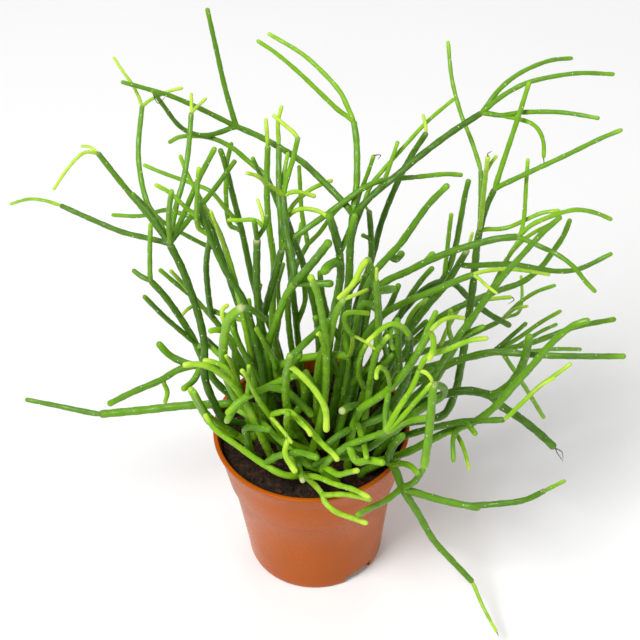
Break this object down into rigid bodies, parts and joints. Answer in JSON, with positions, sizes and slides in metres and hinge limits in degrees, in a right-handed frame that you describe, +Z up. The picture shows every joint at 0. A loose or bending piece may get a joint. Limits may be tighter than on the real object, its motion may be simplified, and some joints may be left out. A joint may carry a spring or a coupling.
{
  "type": "potted mistletoe cactus",
  "caption": "Bushy mistletoe cactus with slender forking green stems, some trailing over the rim, in a tapered terracotta-coloured plastic nursery pot.",
  "frame": {"origin": "on the pot's axis, at the surface that the pot stands on", "axes": "+Z up along the pot's axis, +X to the viewer's right in the picture, +Y away from the viewer"},
  "size_m": [0.3638, 0.2044, 0.3391],
  "materials": {
    "pot_plastic": "satin",
    "peat_soil": "matte",
    "stem_old": "satin",
    "stem_mid": "satin",
    "stem_young": "satin"
  },
  "bodies": {
    "root": {"pot": "pot_plastic", "potting_soil": "peat_soil", "crown_shoot": "stem_old", "left_fan_shoot": "stem_mid", "twin_shoot": "stem_mid", "silver_shoot": "stem_mid", "joined_shoot": "stem_mid", "bright_fork_shoot": "stem_young", "slim_fork_shoot": "stem_mid", "top_spray_shoot": "stem_mid", "right_arch_shoot": "stem_mid", "right_light_shoot": "stem_mid", "right_straight_shoot": "stem_mid", "right_curved_shoot": "stem_old", "right_dark_shoot": "stem_mid", "right_bright_shoot": "stem_young", "right_droop_shoot": "stem_old", "straight_back_shoot": "stem_mid", "thin_pair_shoot": "stem_mid", "olive_stub_shoot": "stem_old", "inner_tall_shoot": "stem_mid", "diagonal_shoot": "stem_mid", "upright_pair_shoot": "stem_old", "left_long_shoot": "stem_old", "left_spray_shoot": "stem_mid", "left_lattice_shoot": "stem_mid", "left_lattice_back_shoot": "stem_mid", "long_arc_shoot": "stem_mid", "left_yellow_shoot": "stem_young", "left_inner_shoot": "stem_mid", "post_shoot": "stem_mid", "left_trail_shoot": "stem_old", "left_low_shoot": "stem_mid", "pale_arch_shoot": "stem_mid", "left_curl_shoot": "stem_young", "left_bow_shoot": "stem_young", "rim_left_shoot": "stem_young", "long_front_shoot": "stem_mid", "front_cross_shoot": "stem_mid", "front_bow_shoot": "stem_young", "soil_dark_shoot": "stem_old", "pale_cross_shoot": "stem_mid", "bright_drop_shoot": "stem_mid", "pale_level_shoot": "stem_young", "lime_tip_shoot": "stem_young", "bright_post_shoot": "stem_mid", "pale_hook_shoot": "stem_mid", "lime_spike_shoot": "stem_mid", "arc_tip_shoot": "stem_mid", "broad_bright_shoot": "stem_mid", "star_shoot": "stem_mid", "hanging_shoot": "stem_old", "right_fan_shoot": "stem_mid", "right_dark_arch_shoot": "stem_old", "right_lime_shoot": "stem_mid", "right_level_shoot": "stem_mid", "right_rise_shoot": "stem_mid", "right_mid_shoot": "stem_mid", "trailing_shoot": "stem_mid", "front_over_rim_shoot": "stem_young"}
  },
  "joints": []
}
